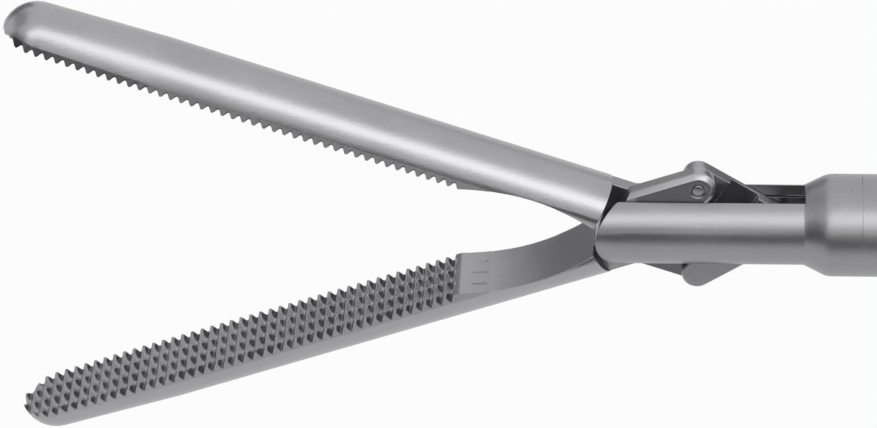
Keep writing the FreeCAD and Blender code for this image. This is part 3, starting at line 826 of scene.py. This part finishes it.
@dataclass
class Jaws:
    """The two toothed jaws. The open angle is in degrees and the first grooves in millimetres."""

    finishes: Finishes
    open_angle: float = 19.4
    plane_reach: float = 0.01
    edges: EdgeWork = EdgeWork(width=0.035)
    first_grooves: dict[str, float] = field(
        default_factory=lambda: {"upper_jaw": 9.18, "lower_jaw": 9.44}
    )

    def turn(self, node: str) -> Matrix:
        """Return where a closed jaw's frame lies in the open tool.

        Args:
            node: The name of the jaw.

        Returns:
            The matrix.
        """
        angle = math.radians(self.open_angle)
        lift = Matrix.Rotation(angle, 4, "Y")
        if node == "lower_jaw":
            lift = Matrix.Rotation(-angle, 4, "Y") @ Matrix.Rotation(math.pi, 4, "X")
        return Matrix.Translation(HINGE) @ lift

    def build(self) -> None:
        """Build both jaws: the body with its pad cut away, and the toothed pad."""
        for node, first in self.first_grooves.items():
            pad = ToothedPad(first)
            turn = self.turn(node)
            body = self.body(node, pad, turn)
            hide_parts(node)
            mesh = pad.build(node + "_pad", self.finishes.teeth, turn)
            add_piece(node + "_pad", mesh, node)

    def body(self, node: str, pad: ToothedPad, turn: Matrix) -> bpy.types.Object:
        """Return the jaw without its pad, with broken edges.

        Args:
            node: The name of the jaw.
            pad: The pad that takes the place of what is cut away.
            turn: Where the closed jaw's frame lies at rest.

        Returns:
            The piece.
        """
        mesh = bpy.data.meshes.new(node + "_whole")
        work = self.edges.merged(node)
        work.to_mesh(mesh)
        work.free()
        mesh.transform(turn.inverted())
        whole = bpy.data.objects.new(node + "_whole", mesh)
        room = bpy.data.objects.new(node + "_room", self.room(pad))
        for thing in (whole, room):
            bpy.context.scene.collection.objects.link(thing)
        cutter = whole.modifiers.new("room", "BOOLEAN")
        cutter.operation = "DIFFERENCE"
        cutter.solver = "EXACT"
        cutter.object = room
        cut = evaluated(whole)
        bpy.data.objects.remove(room)
        work = bmesh.new()
        work.from_mesh(cut)
        self.edges.join_flats(work)
        for edge in work.edges:
            ends = [v.co / MM for v in edge.verts]
            edge.tag = any(
                all(abs(co[axis] - value) < self.plane_reach for co in ends)
                for axis, value in ((0, -pad.near), (0, -pad.far), (2, pad.floor))
            )
        work.transform(turn)
        mesh = self.edges.finish(node + "_body", work, self.finishes.jaw)
        return add_piece(node + "_body", mesh, node)

    def room(self, pad: ToothedPad) -> bpy.types.Mesh:
        """Return the box, in the jaw's closed frame, that is cut away for the pad."""
        wide, high = 2 * pad.jaw_radius, pad.floor
        work = bmesh.new()
        middle = Vector((-(pad.near + pad.far) / 2, 0.0, high / 2 - wide / 2))
        size = Matrix.Diagonal((pad.far - pad.near, wide, wide + high, 1.0))
        spot = Matrix.Scale(MM, 4) @ Matrix.Translation(middle) @ size
        bmesh.ops.create_cube(work, size=1.0, matrix=spot)
        mesh = bpy.data.meshes.new("pad_room")
        work.to_mesh(mesh)
        work.free()
        return mesh


@dataclass
class Shaft:
    """The forked shaft end, its tube and the cross pin that the jaws swing on.

    Lengths are in millimetres.
    """

    finishes: Finishes
    pin_reach: float = 0.7
    seam_reach: float = 0.03
    seam_left: float = 0.008
    seam_start: float = field(init=False)
    seam_radius: float = field(init=False)

    def __post_init__(self) -> None:
        """Find where the tube starts and its radius, in metres."""
        corners = [v.co for v in frame["nodes"]["shaft_tube"].data.vertices]
        self.seam_start = min(co.x for co in corners)
        self.seam_radius = max(math.hypot(co.y, co.z) for co in corners)

    def by_seam(self, place: Vector) -> bool:
        """Return whether a place is by the seam along the shaft."""
        return abs(place.x - self.seam_start) <= self.seam_reach * MM

    def flush(self, place: Vector) -> Vector:
        """Return a corner moved out where the seam is dressed nearly flush."""
        reach = math.hypot(place.y, place.z)
        if not self.by_seam(place) or reach < self.seam_radius - self.seam_reach * MM:
            return place
        grow = max(reach, self.seam_radius - self.seam_left * MM) / reach
        return Vector((place.x, place.y * grow, place.z * grow))

    def crisp(self, place: Vector) -> bool:
        """Return whether a place is by the pin's end, which is dressed flush, or by the seam."""
        near_pin = math.hypot(place.x - HINGE.x, place.z) < self.pin_reach * MM
        return near_pin or self.by_seam(place)

    def build(self) -> None:
        """Build the shaft."""
        finish_node("clevis", self.finishes.shaft, EdgeWork(width=0.05), self.crisp, self.flush)
        finish_node("shaft_tube", self.finishes.tube, EdgeWork(width=0.01), self.crisp, self.flush)
        finish_node("pivot_pin", self.finishes.shaft, EdgeWork(width=0.01), self.crisp)


@dataclass
class Linkage:
    """The two links with their pins and the fork that pushes them."""

    finishes: Finishes

    def build(self) -> None:
        """Build the linkage."""
        for node in ("upper_link", "lower_link"):
            finish_node(node, self.finishes.link, EdgeWork(width=0.035))
        for node in ("upper_link_pin", "lower_link_pin", "fork_pin"):
            finish_node(node, self.finishes.pin, EdgeWork(width=0.04))
        for node in ("drive_fork", "push_rod", "rod_coupler", "rod_cross_pin"):
            finish_node(node, self.finishes.rod, EdgeWork(width=0.04))


@dataclass
class RearEnd:
    """The ferrule with its guides and seals."""

    finishes: Finishes

    def build(self) -> None:
        """Build the rear end."""
        finish_node("rear_ferrule", self.finishes.ferrule, EdgeWork(width=0.06))
        for node in ("front_guide", "rear_guide", "seal_retainer"):
            finish_node(node, self.finishes.guide, EdgeWork(width=0.05))
        for node in ("rod_seal", "ferrule_seal"):
            finish_node(node, self.finishes.seal, EdgeWork(width=0.08, steps=3))


@dataclass(frozen=True)
class Board:
    """A flat lamp or card that faces the tool.

    Side is the angle from straight in front towards the handle, and rise is the angle above the
    horizon, both in degrees. Away, width and height are metres. Glow is a lamp's brightness,
    or how pale a card is.
    """

    side: float
    rise: float
    away: float
    width: float
    height: float
    glow: float

    def stand(self) -> Matrix:
        """Return the board's place and turn."""
        side, rise = math.radians(self.side), math.radians(self.rise)
        out = Vector(
            (math.sin(side) * math.cos(rise), -math.cos(side) * math.cos(rise), math.sin(rise))
        )
        middle = Vector((-0.030, 0.0, 0.0))
        turn = out.to_track_quat("Z", "Y")
        return Matrix.Translation(middle + out * self.away) @ turn.to_matrix().to_4x4()


@dataclass
class Studio:
    """Floor, lamps, world and camera.

    The camera was fitted to the outline of the photographed jaws. Angles are in degrees,
    lengths in millimetres and image places in pixels of the photograph. The lens's clip and
    the floor's reach are metres.
    """

    azimuth: float = 0.346
    elevation: float = 31.33
    roll: float = 0.38
    distance: float = 284.5
    focal: float = 5842.0
    image_width: float = 877.0
    pivot_right: float = 194.24
    pivot_down: float = 9.09
    pivot: Colour = (-30.1, 0.0, 0.0)
    clip: tuple[float, float] = (0.01, 20.0)
    floor_drop: float = 40.0
    floor_reach: float = 3.0
    floor_pale: float = 0.8
    paper_glow: float = 0.9
    sky: float = 0.9
    key: Board = Board(side=18.0, rise=45.0, away=0.7, width=1.1, height=0.34, glow=1.5)
    accent: Board = Board(side=36.0, rise=29.0, away=0.30, width=0.08, height=0.13, glow=1.4)
    cards: dict[str, Board] = field(
        default_factory=lambda: {
            "front_card": Board(side=15.0, rise=-11.0, away=0.11, width=0.30, height=0.076, glow=0.16),
            "near_left_card": Board(side=-62.0, rise=-8.0, away=0.16, width=0.16, height=0.12, glow=0.02),
            "left_card": Board(side=-60.0, rise=4.0, away=0.45, width=0.34, height=0.36, glow=0.2),
            "far_left_card": Board(side=-105.0, rise=45.0, away=0.7, width=0.60, height=0.40, glow=0.6),
            "back_left_card": Board(side=-150.0, rise=14.0, away=0.7, width=0.45, height=0.42, glow=0.3),
            "back_right_card": Board(side=144.0, rise=12.0, away=0.7, width=0.40, height=0.42, glow=0.15),
        }
    )

    def build(self) -> None:
        """Make all of the studio."""
        self.camera()
        self.floor()
        self.world()
        self.lamps()
        bpy.context.scene.view_settings.view_transform = "Standard"

    def camera(self) -> None:
        """Make the camera at the photograph's viewing angle."""
        a, e, r = (math.radians(x) for x in (self.azimuth, self.elevation, self.roll))
        ahead = Vector((-math.sin(a) * math.cos(e), math.cos(a) * math.cos(e), -math.sin(e)))
        right = Vector((math.cos(a), math.sin(a), 0.0))
        up = right.cross(ahead)
        side = right * math.cos(r) + up * math.sin(r)
        top = side.cross(ahead)
        pan = math.atan(self.pivot_right / self.focal)
        tilt = math.atan(self.pivot_down / self.focal)
        spot = Vector(self.pivot) * MM - ahead * (self.distance * MM)
        ahead = (ahead - side * math.tan(pan) + top * math.tan(tilt)).normalized()
        side = ahead.cross(top).normalized()
        top = side.cross(ahead).normalized()
        turn = Matrix((side, top, -ahead)).transposed()
        lens = bpy.data.cameras.new("photo_camera")
        lens.sensor_fit = "HORIZONTAL"
        lens.sensor_width = 36.0
        lens.lens = self.focal / self.image_width * lens.sensor_width
        lens.clip_start, lens.clip_end = self.clip
        seat = bpy.data.objects.new("photo_camera", lens)
        seat.matrix_world = Matrix.Translation(spot) @ turn.to_4x4()
        bpy.context.scene.collection.objects.link(seat)
        bpy.context.scene.camera = seat

    def plain(self, name: str, colour: Colour) -> bpy.types.Material:
        """Return a matt material that shows white to the camera and to gloss.

        Args:
            name: The name of the material.
            colour: What it lights the object with.

        Returns:
            The material.
        """
        made = bpy.data.materials.new(name)
        made.use_nodes = True
        bench = Bench(made.node_tree)
        where = bench.place()
        cloud = bench.noise(where, 3.0, 2.0)
        matt = bench.node("ShaderNodeBsdfDiffuse", {}, {"Color": bench.blend(cloud, colour, colour)})
        glow = bench.node("ShaderNodeEmission", {}, {"Color": (1.0, 1.0, 1.0, 1.0), "Strength": 1.0})
        mixed = bench.node(
            "ShaderNodeMixShader",
            {},
            {0: bench.seen() * self.paper_glow, 1: matt.outputs[0], 2: glow.outputs[0]},
        )
        bench.node("ShaderNodeOutputMaterial", {}, {"Surface": mixed.outputs[0]})
        return made

    def floor(self) -> None:
        """Make the pale floor below the tool."""
        low = CAD_BOX[0].z - self.floor_drop * MM
        size = self.floor_reach
        mesh = bpy.data.meshes.new("floor")
        mesh.from_pydata(
            [(-size, -size, low), (size, -size, low), (size, size, low), (-size, size, low)],
            [],
            [(0, 1, 2, 3)],
        )
        mesh.materials.append(self.plain("floor_paper", (self.floor_pale,) * 3))
        sheet = bpy.data.objects.new("floor", mesh)
        bpy.context.scene.collection.objects.link(sheet)

    def world(self) -> None:
        """Make the even surround, white to the camera and to gloss."""
        world = bpy.data.worlds.new("surround")
        bpy.context.scene.world = world
        world.use_nodes = True
        bench = Bench(world.node_tree)
        white = (1.0, 1.0, 1.0, 1.0)
        lit = bench.node("ShaderNodeBackground", {}, {"Color": white, "Strength": self.sky})
        seen = bench.node("ShaderNodeBackground", {}, {"Color": white, "Strength": 1.0})
        mixed = bench.node(
            "ShaderNodeMixShader",
            {},
            {0: bench.seen(), 1: lit.outputs[0], 2: seen.outputs[0]},
        )
        bench.node("ShaderNodeOutputWorld", {}, {"Surface": mixed.outputs[0]})

    def lamps(self) -> None:
        """Hang the long soft lamp and stand the dark cards that shape the metal's tones."""
        self.lamp("key", self.key)
        self.lamp("accent", self.accent)
        for name, board in self.cards.items():
            self.card(name, board)

    def lamp(self, name: str, board: "Board") -> None:
        """Hang one soft lamp that faces the tool.

        Args:
            name: The name of the lamp.
            board: Where it hangs and how large and bright it is.
        """
        data = bpy.data.lights.new(name, "AREA")
        data.shape = "RECTANGLE"
        data.size = board.width
        data.size_y = board.height
        data.energy = board.glow * math.pi * board.width * board.height
        made = bpy.data.objects.new(name, data)
        made.matrix_world = board.stand()
        bpy.context.scene.collection.objects.link(made)

    def card(self, name: str, board: "Board") -> None:
        """Stand one dark card that the metal mirrors and the camera passes.

        Args:
            name: The name of the card.
            board: Where it stands and how large it is.
        """
        right, top = board.width / 2, board.height / 2
        mesh = bpy.data.meshes.new(name)
        mesh.from_pydata(
            [(-right, -top, 0), (right, -top, 0), (right, top, 0), (-right, top, 0)], [], [(0, 1, 2, 3)]
        )
        mesh.transform(board.stand())
        made = bpy.data.materials.new(name)
        made.use_nodes = True
        bench = Bench(made.node_tree)
        cloud = bench.noise(bench.place(), 4.0, 2.0)
        dark = board.glow
        felt = bench.blend(cloud, (dark, dark, dark), (dark * 1.1, dark * 1.1, dark * 1.1))
        matt = bench.node("ShaderNodeBsdfDiffuse", {}, {"Color": felt})
        bench.node("ShaderNodeOutputMaterial", {}, {"Surface": matt.outputs[0]})
        mesh.materials.append(made)
        sheet = bpy.data.objects.new(name, mesh)
        sheet.visible_camera = False
        bpy.context.scene.collection.objects.link(sheet)


def main() -> None:
    """Build every sub-assembly in order, then the studio."""
    logging.basicConfig(level=logging.INFO, format="%(name)s: %(message)s")
    finishes = Finishes.make()
    for part in (Jaws(finishes), Shaft(finishes), Linkage(finishes), RearEnd(finishes)):
        part.build()
    Studio().build()


if __name__ == "__main__":
    main()
